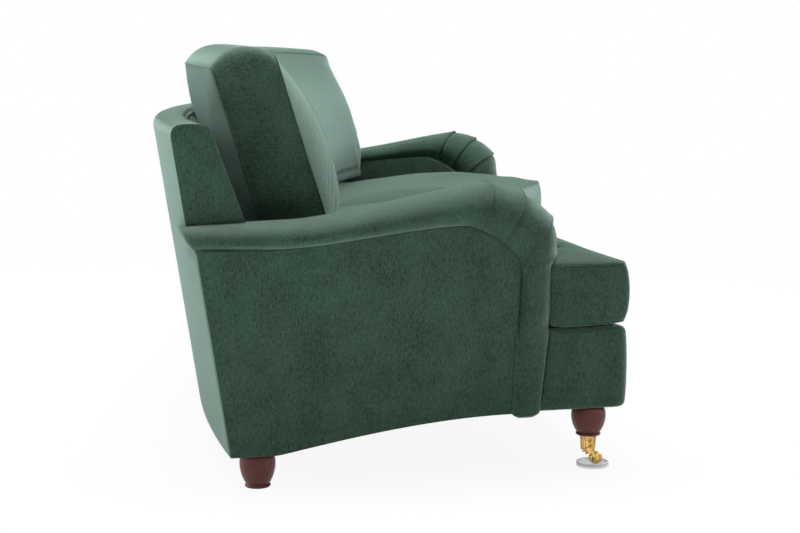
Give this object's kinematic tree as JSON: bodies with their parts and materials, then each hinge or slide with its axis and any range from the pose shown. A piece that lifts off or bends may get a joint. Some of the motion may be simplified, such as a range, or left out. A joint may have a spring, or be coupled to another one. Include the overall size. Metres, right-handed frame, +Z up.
{
  "type": "sofa",
  "caption": "Curved roll arm sofa with pleated arm fronts, loose boxed seat and back cushions with piping, turned feet, and front casters standing in floor cups.",
  "frame": {"origin": "on the floor, below the middle of the overall box", "axes": "+X along the length to the right-hand arm as seen from behind, -Y to the open front, +Z up"},
  "size_m": [2.736, 1.1528, 0.9276],
  "materials": {
    "velvet": "grey-green cotton velvet with a short nap",
    "hardwood": "planed hardwood, unfinished",
    "mahogany": "dark red-brown stain, polished",
    "brass": "polished brass",
    "clear_plastic": "clear moulded plastic",
    "webbing": "woven jute webbing",
    "cambric": "thin black dust cover cloth"
  },
  "bodies": {
    "sofa": {"front_rail": "hardwood", "rear_rail": "hardwood", "side_rail_left": "hardwood", "side_rail_right": "hardwood", "arm_post_left": "hardwood", "arm_post_right": "hardwood", "arm_top_rail_left": "hardwood", "arm_top_rail_right": "hardwood", "back_post_left": "hardwood", "back_post_right": "hardwood", "back_post_centre": "hardwood", "back_top_rail": "hardwood", "lower_back_rail": "hardwood", "seat_stretcher_centre": "hardwood", "seat_stretcher_left": "hardwood", "seat_stretcher_right": "hardwood", "corner_block_left": "hardwood", "corner_block_right": "hardwood", "seat_webbing": "webbing", "back_webbing": "webbing", "dust_cover": "cambric", "outside_back": "velvet", "inside_back": "velvet", "back_facing_left": "velvet", "back_facing_right": "velvet", "outside_arm_left": "velvet", "outside_arm_right": "velvet", "inside_arm_left": "velvet", "inside_arm_right": "velvet", "arm_roll_left": "velvet", "arm_roll_right": "velvet", "front_border": "velvet", "deck_pad": "velvet", "seat_cushion_left": "velvet", "seat_cushion_right": "velvet", "back_cushion_left": "velvet", "back_cushion_right": "velvet", "rear_foot_left": "mahogany", "rear_foot_right": "mahogany", "rear_foot_centre": "mahogany", "front_foot_centre": "mahogany", "front_leg_left": "mahogany", "front_leg_right": "mahogany", "caster_socket_left": "brass", "caster_socket_right": "brass"},
    "swivel_left": {"caster_fork_left": "brass", "caster_axle_left": "brass", "caster_cup_left": "clear_plastic"},
    "wheel_left": {"caster_wheel_left": "brass"},
    "swivel_right": {"caster_fork_right": "brass", "caster_axle_right": "brass", "caster_cup_right": "clear_plastic"},
    "wheel_right": {"caster_wheel_right": "brass"}
  },
  "joints": [
    {"name": "caster_swivel_left", "type": "hinge", "parent": "sofa", "child": "swivel_left", "pos_m": [-1.12654, -0.48854, 0.034], "axis": [0, 0, 1], "continuous": true},
    {"name": "caster_roll_left", "type": "hinge", "parent": "swivel_left", "child": "wheel_left", "pos_m": [-1.12234, -0.50604, 0.0173], "axis": [0.9724, 0.2334, 0], "continuous": true},
    {"name": "caster_swivel_right", "type": "hinge", "parent": "sofa", "child": "swivel_right", "pos_m": [1.12654, -0.48854, 0.034], "axis": [0, 0, 1], "continuous": true},
    {"name": "caster_roll_right", "type": "hinge", "parent": "swivel_right", "child": "wheel_right", "pos_m": [1.12234, -0.50604, 0.0173], "axis": [0.9724, -0.2334, 0], "continuous": true}
  ]
}
